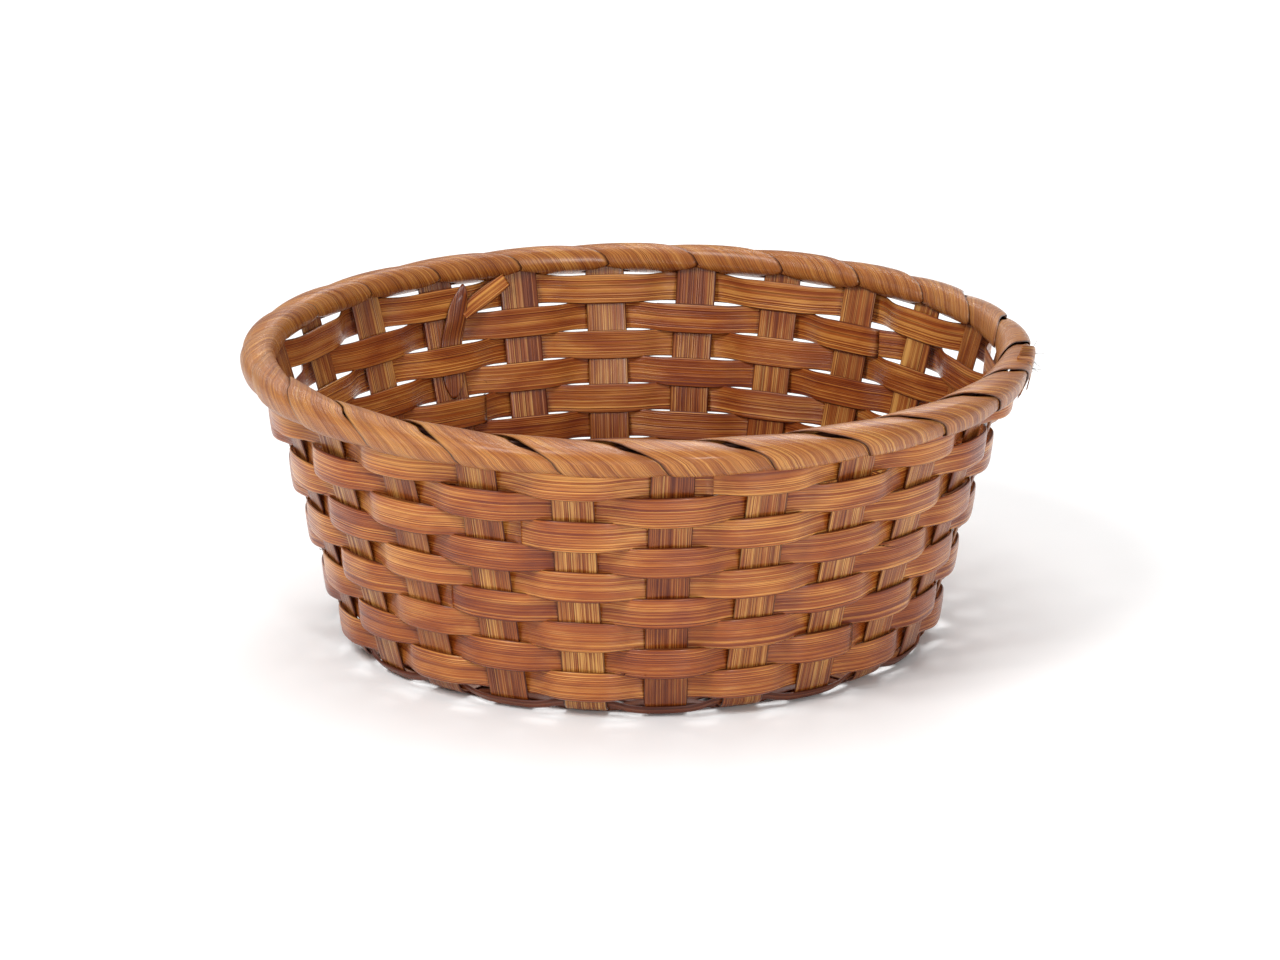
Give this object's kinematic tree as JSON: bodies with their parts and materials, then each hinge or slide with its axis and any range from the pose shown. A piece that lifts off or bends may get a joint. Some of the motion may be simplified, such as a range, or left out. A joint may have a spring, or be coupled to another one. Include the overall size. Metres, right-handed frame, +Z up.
{
  "type": "woven splint basket",
  "caption": "Round open basket plaited from flat stained bamboo splints, with a flared wall of over-and-under weave and a lashed rim.",
  "frame": {"origin": "on the table under the centre of the base", "axes": "+Z up out of the mouth, +X and +Y along the splints of the plaited base"},
  "size_m": [0.2301, 0.2301, 0.0874],
  "materials": {
    "stake_bamboo": "satin",
    "side_weaver_bamboo": "satin",
    "base_weaver_bamboo": "satin",
    "rim_core_bamboo": "matte",
    "rim_lashing_bamboo": "satin"
  },
  "bodies": {
    "root": {"long_splint_1": "stake_bamboo", "long_splint_2": "stake_bamboo", "long_splint_3": "stake_bamboo", "long_splint_4": "stake_bamboo", "long_splint_5": "stake_bamboo", "long_splint_6": "stake_bamboo", "cross_splint_1": "stake_bamboo", "cross_splint_2": "stake_bamboo", "cross_splint_3": "stake_bamboo", "cross_splint_4": "stake_bamboo", "cross_splint_5": "stake_bamboo", "cross_splint_6": "stake_bamboo", "base_weaver_1": "base_weaver_bamboo", "base_weaver_2": "base_weaver_bamboo", "base_weaver_3": "base_weaver_bamboo", "fold_weaver": "base_weaver_bamboo", "side_weaver_1": "side_weaver_bamboo", "side_weaver_2": "side_weaver_bamboo", "side_weaver_3": "side_weaver_bamboo", "side_weaver_4": "side_weaver_bamboo", "side_weaver_5": "side_weaver_bamboo", "side_weaver_6": "side_weaver_bamboo", "side_weaver_7": "side_weaver_bamboo", "side_weaver_8": "side_weaver_bamboo", "side_weaver_9": "side_weaver_bamboo", "tucked_splint": "stake_bamboo", "rim_inner_hoop": "rim_core_bamboo", "rim_rod": "rim_core_bamboo", "rim_lashing": "rim_lashing_bamboo"}
  },
  "joints": []
}
